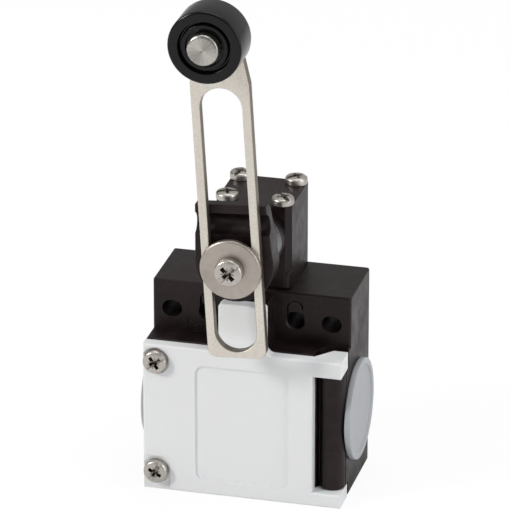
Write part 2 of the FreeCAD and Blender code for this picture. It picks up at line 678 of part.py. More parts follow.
def clamp_washer():
    disc = disc_y(WASHER_R, LEVER_FRONT - WASHER_T, LEVER_FRONT)
    rim = [edge for edge in disc.Edges if edge.BoundBox.YMax < LEVER_FRONT - WASHER_T / 2]
    disc = disc.makeChamfer(0.35, rim)
    bore = disc_y(CLAMP_SCREW_R + FREE_GAP, LEVER_FRONT - 3, LEVER_FRONT + 1)
    return tilted(on_axis(disc.cut(bore)))


def clamp_screw():
    head_plane = LEVER_FRONT - WASHER_T
    screw = cheese_head_screw(CLAMP_SCREW_R, CLAMP_SCREW_TIP - head_plane)
    screw.rotate(Vector(0, 0, 0), Vector(0, 0, 1), 45)
    return placed(facing_front(screw), 0, head_plane, AXIS_Z)


def roller():
    tyre = disc_y(ROLLER_R, ROLLER_FRONT, ROLLER_BACK, 0, ROLLER_DISTANCE)
    tyre = soften(tyre, 0.5, is_round)
    face_groove = disc_y(6.4, ROLLER_FRONT - 1, ROLLER_FRONT + 0.8, 0, ROLLER_DISTANCE)
    face_groove = face_groove.cut(disc_y(5.6, ROLLER_FRONT - 2, ROLLER_FRONT + 1, 0,
                                         ROLLER_DISTANCE))
    recess = disc_y(4.6, ROLLER_FRONT - 1, ROLLER_FRONT + 0.9, 0, ROLLER_DISTANCE)
    bore = disc_y(PIN_R + 0.05, ROLLER_FRONT - 1, ROLLER_BACK + 1, 0, ROLLER_DISTANCE)
    return tilted(on_axis(tyre.cut([face_groove, recess, bore])))


def roller_pin():
    head_r = 3.9
    head_back = ROLLER_FRONT + 0.8
    head_front = -51.9
    head = disc_y(head_r, head_front, head_back, 0, ROLLER_DISTANCE)
    rim = [edge for edge in head.Edges if edge.BoundBox.YMax < head_front + 0.1]
    head = head.makeChamfer(0.5, rim)
    stem = disc_y(PIN_R, head_back, LEVER_BACK, 0, ROLLER_DISTANCE)
    rivet = disc_y(PIN_R + 0.7, LEVER_BACK, LEVER_BACK + 0.9, 0, ROLLER_DISTANCE)
    return tilted(on_axis(join(head, stem, rivet)))


def roller_washer():
    ring = disc_y(4.4, ROLLER_BACK + 0.05, LEVER_FRONT, 0, ROLLER_DISTANCE)
    bore = disc_y(PIN_R + 0.05, ROLLER_BACK - 1, LEVER_FRONT + 1, 0, ROLLER_DISTANCE)
    return tilted(on_axis(ring.cut(bore)))


# ---------------------------------------------------------------- contacts inside the body
BRIDGE_T = 0.8
BRIDGE_HALF_LENGTH = 7.2
CONTACT_TIP_H = 0.7
CONTACT_X = 5.9
TERMINAL_DROP = 7.6            # height of a terminal's screw plate
SCREW_DROP = 4.2               # from the tongue to the terminal screw's axis
NORMALLY_OPEN_GAP = PLUNGER_TRAVEL + 0.1
UPPER_TONGUE_FOOT = UPPER_CONTACT_Z + CONTACT_TIP_H
LOWER_TONGUE_FOOT = LOWER_CONTACT_Z - CONTACT_TIP_H - TERMINAL_T
TERMINAL_LEVELS = {"upper": UPPER_TONGUE_FOOT, "lower": LOWER_TONGUE_FOOT}
MOVING_CONTACT_BELOW = {"upper": True, "lower": False}
CARRIER_FOOT = -34.5
SPRING_SEAT_Z = -40.0
CARRIER_TOP = CAVITY_TOP - 0.5


def contact_block():
    block = box((-BLOCK_HALF_WIDTH, BLOCK_HALF_WIDTH), (BLOCK_FRONT, CAVITY_REAR - 0.05),
                (BLOCK_BOTTOM, BLOCK_TOP))
    chamber = box((-CHAMBER_HALF_WIDTH, CHAMBER_HALF_WIDTH), (BLOCK_FRONT - 1, -5.8),
                  (SPRING_SEAT_Z, BLOCK_TOP - 1.6))
    half_w = CARRIER_HALF_WIDTH + FREE_GAP
    half_d = CARRIER_HALF_DEPTH + FREE_GAP
    carrier_hole = box((-half_w, half_w), (PLUNGER_Y - half_d, PLUNGER_Y + half_d),
                       (BLOCK_TOP - 3, BLOCK_TOP + 1))
    block = block.cut([chamber, carrier_hole])
    for side in (-1, 1):
        for foot in TERMINAL_LEVELS.values():
            x = sorted((side * (CHAMBER_HALF_WIDTH - 1), side * (BLOCK_HALF_WIDTH + 1)))
            tongue_slot = box(x, (BLOCK_FRONT - 1, -6.4), (foot - 0.1, foot + TERMINAL_T + 0.1))
            screw_hole = disc_y(1.53, BLOCK_FRONT - 1, -7.0, side * TERMINAL_SCREW_X,
                                foot - SCREW_DROP)
            block = block.cut([tongue_slot, screw_hole])
    return block


def terminal(side, foot, tip_up):
    """One fixed contact: a tongue with its tip, and the screw plate bent down in front."""
    tongue_x = sorted((side * (CONTACT_X - 1.5), side * (BLOCK_HALF_WIDTH - 0.6)))
    plate_x = sorted((side * (CHAMBER_HALF_WIDTH + 0.5), side * (BLOCK_HALF_WIDTH - 0.6)))
    front = BLOCK_FRONT - TERMINAL_T - 0.05
    tongue = box(tongue_x, (front, -7.0), (foot, foot + TERMINAL_T))
    inner_cut = box(sorted((0, side * (CHAMBER_HALF_WIDTH + 0.5))), (front - 1, -12.6),
                    (foot - 1, foot + 2))
    plate = box(plate_x, (front, BLOCK_FRONT - 0.05), (foot - TERMINAL_DROP, foot + TERMINAL_T))
    tip_z = (foot + TERMINAL_T, foot + TERMINAL_T + CONTACT_TIP_H)
    if not tip_up:
        tip_z = (foot - CONTACT_TIP_H, foot)
    tip = disc_z(1.3, *tip_z, x=side * CONTACT_X, y=PLUNGER_Y)
    screw_hole = disc_y(1.6, front - 1, BLOCK_FRONT + 1, side * TERMINAL_SCREW_X,
                        foot - SCREW_DROP)
    return join(tongue.cut(inner_cut), plate, tip).cut(screw_hole)


def terminal_screw_places():
    return [(side * TERMINAL_SCREW_X, foot - SCREW_DROP) for side in (-1, 1)
            for foot in TERMINAL_LEVELS.values()]


CLAMP_REAR = BLOCK_FRONT - TERMINAL_T - 0.1
CLAMP_T = 0.9


def terminal_clamps():
    clamps = []
    for x, z in terminal_screw_places():
        plate = box((x - 2.8, x + 2.8), (CLAMP_REAR - CLAMP_T, CLAMP_REAR), (z - 2.8, z + 2.8))
        clamps.append(plate.cut(disc_y(1.6, CLAMP_REAR - 2, CLAMP_REAR + 1, x, z)))
    return Part.makeCompound(clamps)


def terminal_screws():
    head_plane = CLAMP_REAR - CLAMP_T - 0.05
    return Part.makeCompound([
        placed(facing_front(cheese_head_screw(1.5, 8.0)), x, head_plane, z)
        for x, z in terminal_screw_places()])


def carrier_window(low, high):
    return box((-CARRIER_HALF_WIDTH - 1, CARRIER_HALF_WIDTH + 1),
               (PLUNGER_Y - 2.1, PLUNGER_Y + 2.1), (low, high))


UPPER_BRIDGE_TOP = UPPER_CONTACT_Z - CONTACT_TIP_H - 0.1
LOWER_BRIDGE_FOOT = LOWER_CONTACT_Z + NORMALLY_OPEN_GAP + CONTACT_TIP_H
BRIDGE_SPRING_ROOM = 3.2


def contact_carrier():
    bar = box((-CARRIER_HALF_WIDTH, CARRIER_HALF_WIDTH),
              (PLUNGER_Y - CARRIER_HALF_DEPTH, PLUNGER_Y + CARRIER_HALF_DEPTH),
              (CARRIER_FOOT, CARRIER_TOP))
    upper = carrier_window(UPPER_BRIDGE_TOP - BRIDGE_T - BRIDGE_SPRING_ROOM,
                           UPPER_BRIDGE_TOP + 0.05)
    lower = carrier_window(LOWER_BRIDGE_FOOT - 0.05,
                           LOWER_BRIDGE_FOOT + BRIDGE_T + BRIDGE_SPRING_ROOM)
    return bar.cut([upper, lower])


def bridge(foot, tips_up):
    plate = box((-BRIDGE_HALF_LENGTH, BRIDGE_HALF_LENGTH), (PLUNGER_Y - 2.0, PLUNGER_Y + 2.0),
                (foot, foot + BRIDGE_T))
    tip_z = (foot - CONTACT_TIP_H, foot)
    if tips_up:
        tip_z = (foot + BRIDGE_T, foot + BRIDGE_T + CONTACT_TIP_H)
    tips = [disc_z(1.3, *tip_z, x=side * CONTACT_X, y=PLUNGER_Y) for side in (-1, 1)]
    return join(plate, *tips)


def bridge_spring(low):
    return spring(1.4, 0.2, low + 0.1, low + BRIDGE_SPRING_ROOM - 0.1, 4, 0, PLUNGER_Y)


def main():
    os.makedirs("parts", exist_ok=True)
    save("body_housing", body_housing())
    save("cover", cover())
    save("cover_gasket", gasket_ring(COVER_BACK - 0.85, COVER_BACK))
    save("cover_screws", cover_screws())
    save("hinge_pin", disc_z(HINGE_PIN_R, BODY_BOTTOM + 0.4, COVER_TOP - 1.4, HINGE_X, HINGE_Y))
    save("left_entry_plug", entry_plug(-1))
    save("right_entry_plug", entry_plug(1))

    save("head_housing", head_housing())
    save("head_gasket", head_gasket_ring(SHOULDER_TOP, SHOULDER_TOP + HEAD_GASKET_H))
    save("head_screws", head_screws())
    save("cam_shaft", cam_shaft())
    save("cam", cam())
    save("shaft_retaining_ring", shaft_retaining_ring())
    save("shaft_seal", shaft_seal())
    save("head_plunger", head_plunger())
    save("plunger_spring", plunger_spring())

    save("index_collar", index_collar())
    save("lever_hub", lever_hub())
    save("lever", lever())
    save("clamp_washer", clamp_washer())
    save("clamp_screw", clamp_screw())
    save("roller", roller())
    save("roller_pin", roller_pin())
    save("roller_washer", roller_washer())

    save("contact_block", contact_block())
    for level, foot in TERMINAL_LEVELS.items():
        for name, side in (("left", -1), ("right", 1)):
            tip_up = not MOVING_CONTACT_BELOW[level]
            save(level + "_" + name + "_terminal", terminal(side, foot, tip_up))
    save("terminal_screws", terminal_screws())
    save("terminal_clamps", terminal_clamps())
    save("contact_carrier", contact_carrier())
    save("upper_bridge", bridge(UPPER_BRIDGE_TOP - BRIDGE_T, tips_up=True))
    save("lower_bridge", bridge(LOWER_BRIDGE_FOOT, tips_up=False))
    save("upper_bridge_spring", bridge_spring(UPPER_BRIDGE_TOP - BRIDGE_T - BRIDGE_SPRING_ROOM))
    save("lower_bridge_spring", bridge_spring(LOWER_BRIDGE_FOOT + BRIDGE_T))
    save("carrier_spring", spring(2.0, 0.25, SPRING_SEAT_Z, CARRIER_FOOT - 0.05, 5, 0, PLUNGER_Y))


main()
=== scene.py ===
"""Looks for the limit switch: materials, finely made fittings, studio light and camera.

Places are in metres, as in the frame. Profiles of turned pieces and screws are drawn in
millimetres about their own axis and scaled by MM when their vertices are made.
"""

import json
import math

import bmesh
import bpy
from mathutils import Matrix, Vector


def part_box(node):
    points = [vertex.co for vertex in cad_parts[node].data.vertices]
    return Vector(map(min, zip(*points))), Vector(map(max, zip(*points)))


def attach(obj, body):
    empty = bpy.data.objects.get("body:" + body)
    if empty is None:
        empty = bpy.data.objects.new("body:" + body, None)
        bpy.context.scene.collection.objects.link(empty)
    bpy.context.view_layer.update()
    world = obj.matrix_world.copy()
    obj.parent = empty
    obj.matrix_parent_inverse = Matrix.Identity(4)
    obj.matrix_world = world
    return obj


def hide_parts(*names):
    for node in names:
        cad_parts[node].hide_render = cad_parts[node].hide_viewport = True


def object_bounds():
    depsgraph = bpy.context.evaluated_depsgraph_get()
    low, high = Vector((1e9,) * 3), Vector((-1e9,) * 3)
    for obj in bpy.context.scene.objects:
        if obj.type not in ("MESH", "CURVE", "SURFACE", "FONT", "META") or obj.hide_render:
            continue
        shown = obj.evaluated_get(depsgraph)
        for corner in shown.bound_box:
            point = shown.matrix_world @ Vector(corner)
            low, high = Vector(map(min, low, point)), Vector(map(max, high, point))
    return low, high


MM = 0.001
SMOOTH_BELOW = 32              # degrees between faces that are shaded as one surface
SCREW_SEGMENTS = 72
ROUND_SEGMENTS = 128
ROLLER_SEGMENTS = 144
SHADE_RING = 0.06              # mm, a ring beside a rounding that keeps the shading flat

# The camera has a long lens and looks down from the front and a little from the right.
CAMERA_PLACE = (0.2786, -1.0975, 0.49205)
CAMERA_FORWARD = (-0.2295, 0.8905, -0.3930)
CAMERA_LENS_MM = 351.0
CAMERA_SENSOR_MM = 36.0
CAMERA_REACH = 50.0            # metres, beyond the far edge of the floor

FLOOR_GREY = 0.80
FLOOR_HALF_SIZE = 4.0
FLOOR_GAP = 0.05 * MM          # between the lowest point of the object and the floor
FLOOR_GLOW = 1.02              # strength of the floor's white as the camera sees it
FLOOR_GLOW_SHARE = 0.90        # the rest of what the camera sees is plain shaded floor
WORLD_LEVEL = 0.32             # the studio's mean brightness
# How much brighter it is straight to the right, to the rear and overhead.
WORLD_GAIN = {"X": 0.20, "Y": 0.10, "Z": 0.22}
LIGHT_TARGET = (0, -0.02, 0.02)

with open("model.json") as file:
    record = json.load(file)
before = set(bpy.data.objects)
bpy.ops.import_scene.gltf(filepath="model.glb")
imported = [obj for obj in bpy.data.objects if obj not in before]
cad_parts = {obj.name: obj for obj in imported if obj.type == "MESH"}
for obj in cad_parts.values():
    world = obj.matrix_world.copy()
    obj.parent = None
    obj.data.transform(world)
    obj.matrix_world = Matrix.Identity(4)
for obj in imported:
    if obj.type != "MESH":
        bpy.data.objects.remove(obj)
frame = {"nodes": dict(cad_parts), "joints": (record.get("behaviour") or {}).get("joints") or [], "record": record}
nodes = frame["nodes"]
cad_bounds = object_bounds()


# ---------------------------------------------------------------- places taken from the frame
def joint(name):
    return next(entry for entry in frame["joints"] if entry["name"] == name)


# Points on two axes that run from front to rear.
SHAFT_AXIS = Vector(joint("lever_swing")["pos_m"])
ROLLER_AXIS = Vector(joint("roller_spin")["pos_m"])


# ---------------------------------------------------------------- shader builder
class Shader:
    """A small builder for a procedural material; its textures lie in object coordinates."""

    def __init__(self, name):
        self.material = bpy.data.materials.new(name)
        self.material.use_nodes = True
        self.tree = self.material.node_tree
        self.surface = self.tree.nodes["Principled BSDF"]
        self.coordinates = self.tree.nodes.new("ShaderNodeTexCoord").outputs["Object"]

    def node(self, kind, **settings):
        made = self.tree.nodes.new(kind)
        for key, value in settings.items():
            setattr(made, key, value)
        return made

    def feed(self, socket, value):
        if isinstance(value, bpy.types.NodeSocket):
            self.tree.links.new(value, socket)
        else:
            socket.default_value = value

    def set(self, **inputs):
        """Set inputs of the surface shader; underscores in a name stand for spaces."""
        for key, value in inputs.items():
            self.feed(self.surface.inputs[key.replace("_", " ")], value)

    def math(self, operation, first, second=0.0):
        made = self.node("ShaderNodeMath", operation=operation)
        for socket, value in zip(made.inputs, (first, second)):
            self.feed(socket, value)
        return made.outputs[0]

    def stretched(self, scale):
        """Coordinates scaled per axis; a small scale draws a texture out along that axis."""
        made = self.node("ShaderNodeMapping")
        self.feed(made.inputs["Vector"], self.coordinates)
        made.inputs["Scale"].default_value = scale
        return made.outputs[0]

    def noise(self, scale, detail=4.0, roughness=0.55, vector=None):
        """Cloudy noise of about 0 to 1, with scale features to a metre."""
        made = self.node("ShaderNodeTexNoise")
        self.feed(made.inputs["Vector"], vector or self.coordinates)
        made.inputs["Scale"].default_value = scale
        made.inputs["Detail"].default_value = detail
        made.inputs["Roughness"].default_value = roughness
        return made.outputs["Fac"]

    def cells(self, scale):
        """Distance to scattered points, scale of them to a metre: 0 on a point."""
        made = self.node("ShaderNodeTexVoronoi", feature="F1")
        self.feed(made.inputs["Vector"], self.coordinates)
        made.inputs["Scale"].default_value = scale
        return made.outputs["Distance"]

    def spread(self, value, low, high, to_low=0.0, to_high=1.0):
        """Carry the range low to high over to the range to_low to to_high, and clamp it."""
        made = self.node("ShaderNodeMapRange")
        for socket, number in zip(made.inputs, (value, low, high, to_low, to_high)):
            self.feed(socket, number)
        return made.outputs[0]

    def mix(self, amount, first, second):
        """Colour first where amount is 0 and colour second where it is 1."""
        made = self.node("ShaderNodeMix", data_type="RGBA")
        self.feed(made.inputs["Factor"], amount)
        self.feed(made.inputs["A"], first)
        self.feed(made.inputs["B"], second)
        return made.outputs["Result"]

    def bump(self, height, strength, distance, under=None):
        """A bumped normal; distance is in metres, and under is a bump that it lies on."""
        made = self.node("ShaderNodeBump")
        made.inputs["Strength"].default_value = strength
        made.inputs["Distance"].default_value = distance
        self.feed(made.inputs["Height"], height)
        if under is not None:
            self.feed(made.inputs["Normal"], under)
        return made.outputs[0]

    def offsets_from(self, centre):
        """Offsets to the right and up from an axis that runs along Y through centre."""
        split = self.node("ShaderNodeSeparateXYZ")
        self.feed(split.inputs[0], self.coordinates)
        across = self.math("SUBTRACT", split.outputs["X"], centre.x)
        up = self.math("SUBTRACT", split.outputs["Z"], centre.z)
        return across, up

    def distance_from(self, centre):
        """Distance in metres from such an axis."""
        across, up = self.offsets_from(centre)
        squares = self.math("ADD", self.math("MULTIPLY", across, across),
                            self.math("MULTIPLY", up, up))
        return self.math("SQRT", squares)

    def angle_about(self, centre):
        """Angle in radians about such an axis, from straight up towards the right."""
        across, up = self.offsets_from(centre)
        return self.math("ARCTAN2", across, up)

    def turned_from_front(self):
        """0 on faces that look straight to the front or rear and 1 on the sides between them."""
        nearly_straight = 0.95
        well_turned = 0.45
        made = self.node("ShaderNodeNewGeometry")
        split = self.node("ShaderNodeSeparateXYZ")
        self.feed(split.inputs[0], made.outputs["True Normal"])
        facing = self.math("ABSOLUTE", split.outputs["Y"])
        return self.spread(facing, nearly_straight, well_turned)

    def crevices(self, distance):
        """1 in tight corners and recesses and 0 on open faces, as far as distance reaches."""
        open_enough = 0.75
        closed_in = 0.25
        made = self.node("ShaderNodeAmbientOcclusion", samples=8)
        made.inputs["Distance"].default_value = distance
        return self.spread(made.outputs["AO"], open_enough, closed_in)

    def painted_highlight_edges(self, radius):
        """0 on flat faces and 1 along edges, where a rounded normal leaves the true one; it marks where highlights
        are painted.
        """
        still_flat = 0.98
        well_rounded = 0.80
        rounded = self.node("ShaderNodeBevel", samples=4)
        rounded.inputs["Radius"].default_value = radius
        flat = self.node("ShaderNodeNewGeometry")
        dot = self.node("ShaderNodeVectorMath", operation="DOT_PRODUCT")
        self.feed(dot.inputs[0], rounded.outputs[0])
        self.feed(dot.inputs[1], flat.outputs["Normal"])
        return self.spread(dot.outputs["Value"], still_flat, well_rounded)


def grey(value, warmth=0.0):
    """A grey colour, warmed from neutral towards orange by a share of its value."""
    return (value * (1 + warmth), value, value * (1 - warmth), 1)


# ---------------------------------------------------------------- materials
def black_moulding():
    """Glass-filled nylon: brown-black and mottled, with fibre speckle and a painted highlight along its edges."""
    shader = Shader("black_moulding")
    brown_black = (0.0040, 0.0017, 0.0019, 1)
    dark_brown = (0.0150, 0.0085, 0.0087, 1)
    dust = (0.075, 0.064, 0.060, 1)
    fine_dust = (0.050, 0.043, 0.041, 1)
    painted_edge_highlight = (0.07, 0.063, 0.061, 1)
    fibres = shader.noise(2600, detail=6, roughness=0.7)
    clouds = shader.noise(170, detail=8, roughness=0.68)
    colour = shader.mix(shader.spread(clouds, 0.35, 0.65), brown_black, dark_brown)
    colour = shader.mix(shader.spread(shader.cells(620), 0.02, 0.10, 0.75, 0.0), colour, dust)
    colour = shader.mix(shader.spread(shader.cells(1500), 0.02, 0.16, 0.45, 0.0), colour,
                        fine_dust)
    # Painted highlight: a lighter colour along the edges.
    edge_highlight_mask = shader.math("MULTIPLY", shader.painted_highlight_edges(0.22 * MM), 0.35)
    colour = shader.mix(edge_highlight_mask, colour, painted_edge_highlight)
    grain = shader.bump(fibres, 0.28, 0.05 * MM)
    grain = shader.bump(shader.noise(900, detail=5, roughness=0.7), 0.16, 0.1 * MM, grain)
    shader.set(Base_Color=colour, Roughness=shader.spread(clouds, 0.3, 0.7, 0.30, 0.56),
               Normal=grain, Specular_IOR_Level=0.31, Specular_Tint=(1.0, 0.88, 0.88, 1))
    return shader.material


def toothed_collar():
    """A glossier black, with a painted highlight on the tooth edges and painted shade in the seams between teeth.
    """
    shader = Shader("toothed_collar")
    painted_tooth_highlight = (0.42, 0.43, 0.46, 1)
    painted_seam_shade = (0.0015, 0.0015, 0.0020, 1)
    clouds = shader.noise(700, detail=5, roughness=0.7)
    colour = shader.mix(clouds, (0.010, 0.010, 0.011, 1), (0.045, 0.045, 0.049, 1))
    # Painted highlight: a bright bluish colour along the tooth edges.
    tooth_highlight_mask = shader.math("MULTIPLY", shader.painted_highlight_edges(0.30 * MM), 0.8)
    colour = shader.mix(tooth_highlight_mask, colour, painted_tooth_highlight)
    # Painted shade: black colour and almost no reflection in the seams between teeth.
    seam_shade_mask = shader.crevices(1.2 * MM)
    colour = shader.mix(seam_shade_mask, colour, painted_seam_shade)
    surface = shader.bump(clouds, 0.25, 0.1 * MM)
    shader.set(Base_Color=colour, Roughness=0.24, Normal=surface,
               Specular_IOR_Level=shader.spread(seam_shade_mask, 0.0, 1.0, 0.7, 0.03))
    return shader.material


def grey_cover():
    """Light grey satin moulding with a fine eroded texture."""
    shader = Shader("grey_cover")
    pit_grey = (0.66, 0.67, 0.68, 1)
    clouds = shader.noise(35, detail=2)
    colour = shader.mix(clouds, (0.770, 0.782, 0.790, 1), (0.815, 0.827, 0.833, 1))
    pits = shader.spread(shader.cells(1900), 0.0, 0.10, 0.14, 0.0)
    colour = shader.mix(pits, colour, pit_grey)
    texture = shader.bump(shader.noise(2200, detail=4), 0.14, 0.04 * MM)
    texture = shader.bump(shader.noise(300, detail=2), 0.06, 0.1 * MM, texture)
    roughness = shader.spread(shader.noise(700), 0.3, 0.7, 0.38, 0.50)
    shader.set(Base_Color=colour, Roughness=roughness, Normal=texture,
               Specular_IOR_Level=0.45, Subsurface_Weight=0.08, Subsurface_Scale=0.6 * MM)
    return shader.material


def plug_plastic():
    """Milky, slightly translucent blue-grey polyethylene."""
    shader = Shader("plug_plastic")
    clouds = shader.noise(120, detail=3)
    colour = shader.mix(clouds, (0.395, 0.408, 0.43, 1), (0.475, 0.488, 0.51, 1))
    texture = shader.bump(shader.noise(900, detail=3), 0.08, 0.08 * MM)
    shader.set(Base_Color=colour, Normal=texture, Specular_IOR_Level=0.5,
               Roughness=shader.spread(clouds, 0.3, 0.7, 0.32, 0.46),
               Subsurface_Weight=0.45, Subsurface_Scale=2.5 * MM,
               Subsurface_Radius=(0.8, 0.9, 1.0), Transmission_Weight=0.12)
    return shader.material


def bright_screw():
    """Nickel plating with faint tumbling marks, dull patches and painted brown shade in the recesses."""
    shader = Shader("bright_screw")
    painted_recess_shade = (0.205, 0.168, 0.125, 1)
    marks = shader.noise(1800, detail=5, roughness=0.65)
    clouds = shader.noise(500, detail=3)
    colour = shader.mix(clouds, (0.44, 0.41, 0.375, 1), (0.62, 0.59, 0.55, 1))
    # Painted shade: a dark brown in the recesses of the head.
    colour = shader.mix(shader.crevices(1.3 * MM), colour, painted_recess_shade)
    plating = shader.bump(marks, 0.05, 0.04 * MM)
    shader.set(Base_Color=colour, Metallic=1.0, Normal=plating,
               Roughness=shader.spread(marks, 0.3, 0.7, 0.27, 0.45))
    return shader.material


def rolled_steel():
    """Satin nickel plating over rolled sheet: fine pits, a warm tint and dark sides, partly the punched edges' own
    dull colour and partly painted shade.
    """
    shader = Shader("rolled_steel")
    pit_brown = (0.38, 0.35, 0.31, 1)
    grain_brown = (0.42, 0.39, 0.35, 1)
    rolling = shader.noise(900, detail=5, roughness=0.7,
                           vector=shader.stretched((1.0, 1.0, 0.12)))
    clouds = shader.noise(70, detail=2)
    colour = shader.mix(clouds, (0.735, 0.685, 0.612, 1), (0.845, 0.800, 0.730, 1))
    pits = shader.spread(shader.cells(1600), 0.0, 0.30, 0.45, 0.0)
    colour = shader.mix(pits, colour, pit_brown)
    grains = shader.spread(shader.noise(2300, detail=3), 0.35, 0.65, 0.24, 0.0)
    colour = shader.mix(grains, colour, grain_brown)
    # The faces turned from the front are darker: partly the punched edges' own dull colour, partly painted shade.
    side_streaks = shader.noise(1100, detail=4, vector=shader.stretched((1.0, 1.0, 0.25)))
    dark_side_and_shade = shader.mix(side_streaks, (0.090, 0.068, 0.050, 1), (0.36, 0.32, 0.27, 1))
    colour = shader.mix(shader.turned_from_front(), colour, dark_side_and_shade)
    surface = shader.bump(rolling, 0.16, 0.05 * MM)
    surface = shader.bump(shader.noise(2500, detail=4), 0.18, 0.03 * MM, surface)
    shader.set(Base_Color=colour, Metallic=0.92, Normal=surface,
               Roughness=shader.spread(rolling, 0.3, 0.7, 0.38, 0.54))
    return shader.material


def turned_metal(name, centre, dark, light, pitch, roughness, fan):
    """Metal with the fine rings that a lathe leaves about an axis along Y.

    Such rings catch the light in a fan of sectors, which is painted here as lighter and darker sectors with fine
    streaks; fan is how much darker the painted dark ones are.
    """
    shader = Shader(name)
    painted_sector_shadow = (0.12, 0.11, 0.10, 1)
    sectors = 2.0
    painted_streaks_around = 17.0
    radius = shader.distance_from(centre)
    wobble = shader.math("MULTIPLY", shader.noise(500, detail=3), pitch * 0.8)
    phase = shader.math("MULTIPLY", shader.math("ADD", radius, wobble), 2 * math.pi / pitch)
    rings = shader.math("SINE", phase)
    clouds = shader.noise(220, detail=4, roughness=0.6)
    colour = shader.mix(clouds, dark, light)
    angle = shader.angle_about(centre)
    painted_sector = shader.math("SINE", shader.math("MULTIPLY", angle, sectors))
    painted_streaks = shader.math("SINE", shader.math("MULTIPLY", angle, painted_streaks_around))
    shade = shader.math("ADD", painted_sector, shader.math("MULTIPLY", painted_streaks, 0.25))
    # Painted reflection: darker and lighter sectors and streaks about the axis.
    colour = shader.mix(shader.spread(shade, -1.2, 1.2, 0.0, fan), colour, painted_sector_shadow)
    surface = shader.bump(rings, 0.12, 0.02 * MM)
    surface = shader.bump(shader.noise(2600, detail=4), 0.15, 0.03 * MM, surface)
    shader.set(Base_Color=colour, Metallic=1.0, Normal=surface,
               Roughness=shader.spread(clouds, 0.3, 0.7, roughness, roughness + 0.14))
    return shader.material


def gloss_black():
    """Black acetal with a moulded gloss and light handling scuffs."""
    shader = Shader("gloss_black")
    scuffs = shader.noise(350, detail=6, roughness=0.75)
    colour = shader.mix(shader.spread(scuffs, 0.45, 0.75), (0.0012, 0.0012, 0.0015, 1),
                        (0.0035, 0.0035, 0.0042, 1))
    surface = shader.bump(scuffs, 0.05, 0.05 * MM)
    shader.set(Base_Color=colour, Normal=surface, Specular_IOR_Level=0.24,
               Roughness=shader.spread(scuffs, 0.35, 0.7, 0.14, 0.28),
               Coat_Weight=0.10, Coat_Roughness=0.08)
    return shader.material


def moulded_plastic(name, dark, light, roughness):
    """A plain engineering plastic with soft clouding and a fine grain."""
    shader = Shader(name)
    clouds = shader.noise(180, detail=3)
    surface = shader.bump(shader.noise(1500, detail=4), 0.12, 0.05 * MM)
    shader.set(Base_Color=shader.mix(clouds, dark, light), Normal=surface,
               Roughness=shader.spread(clouds, 0.3, 0.7, roughness, roughness + 0.12))
    return shader.material


def plain_metal(name, dark, light, roughness):
    """A metal with soft staining and drawn or rolled micro-scratches."""
    shader = Shader(name)
    clouds = shader.noise(400, detail=4, roughness=0.65)
    scratches = shader.noise(1400, detail=4, vector=shader.stretched((1.0, 0.15, 1.0)))
    surface = shader.bump(scratches, 0.15, 0.03 * MM)
    shader.set(Base_Color=shader.mix(clouds, dark, light), Metallic=1.0, Normal=surface,
               Roughness=shader.spread(scratches, 0.3, 0.7, roughness, roughness + 0.15))
    return shader.material


def slot_materials():
    """One material for each material slot of the record."""
    pin_steel = turned_metal("pin_steel", ROLLER_AXIS, (0.47, 0.45, 0.42, 1),
                             (0.62, 0.60, 0.56, 1), pitch=0.22 * MM, roughness=0.24, fan=0.55)
    washer_steel = turned_metal("washer_steel", SHAFT_AXIS, (0.340, 0.295, 0.258, 1),
                                (0.620, 0.565, 0.515, 1), pitch=0.30 * MM, roughness=0.34,
                                fan=0.16)
    return {
        "black_plastic": black_moulding(),
        "grey_cover": grey_cover(),
        "seal_rubber": moulded_plastic("seal_rubber", grey(0.010), grey(0.022), roughness=0.62),
        "bright_screw": bright_screw(),
        "pin_steel": pin_steel,
        "spring_steel": plain_metal("spring_steel", grey(0.30), grey(0.46), roughness=0.25),
        "plug_plastic": plug_plastic(),
        "cam_plastic": moulded_plastic("cam_plastic", grey(0.62, warmth=0.03),
                                       grey(0.72, warmth=0.03), roughness=0.30),
        "lever_steel": rolled_steel(),
        "washer_steel": washer_steel,
        "roller_plastic": gloss_black(),
        "block_plastic": moulded_plastic("block_plastic", grey(0.030), grey(0.055),
                                         roughness=0.45),
        "carrier_plastic": moulded_plastic("carrier_plastic", (0.36, 0.05, 0.03, 1),
                                           (0.46, 0.08, 0.05, 1), roughness=0.36),
        "contact_brass": plain_metal("contact_brass", (0.62, 0.43, 0.20, 1),
                                     (0.78, 0.58, 0.30, 1), roughness=0.24),
        "clamp_steel": plain_metal("clamp_steel", grey(0.48), grey(0.62), roughness=0.30),
    }


MATERIALS = slot_materials()
SLOT_OF = {entry["node"]: entry["material_slot"] for entry in frame["record"]["subparts"]}


# ---------------------------------------------------------------- mesh helpers
def place_in_scene(name, data):
    made = bpy.data.objects.new(name, data)
    bpy.context.scene.collection.objects.link(made)
    return made


def piece(name, mesh_builder, slot, body, node):
    """Turn a bmesh into a named piece that rides on a body and stands for a CAD node."""
    finish_piece(object_of(name, mesh_builder), slot, body, node)


def object_of(name, mesh_builder):
    """Turn a bmesh into an object in the scene, and free the bmesh."""
    mesh = bpy.data.meshes.new(name)
    mesh_builder.to_mesh(mesh)
    mesh_builder.free()
    return place_in_scene(name, mesh)


def finish_piece(made, slot, body, node):
    made.data.materials.clear()
    made.data.materials.append(MATERIALS[slot])
    for face in made.data.polygons:
        face.use_smooth = True
    made.data.set_sharp_from_angle(angle=math.radians(SMOOTH_BELOW))
    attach(made, body)
    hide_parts(node)


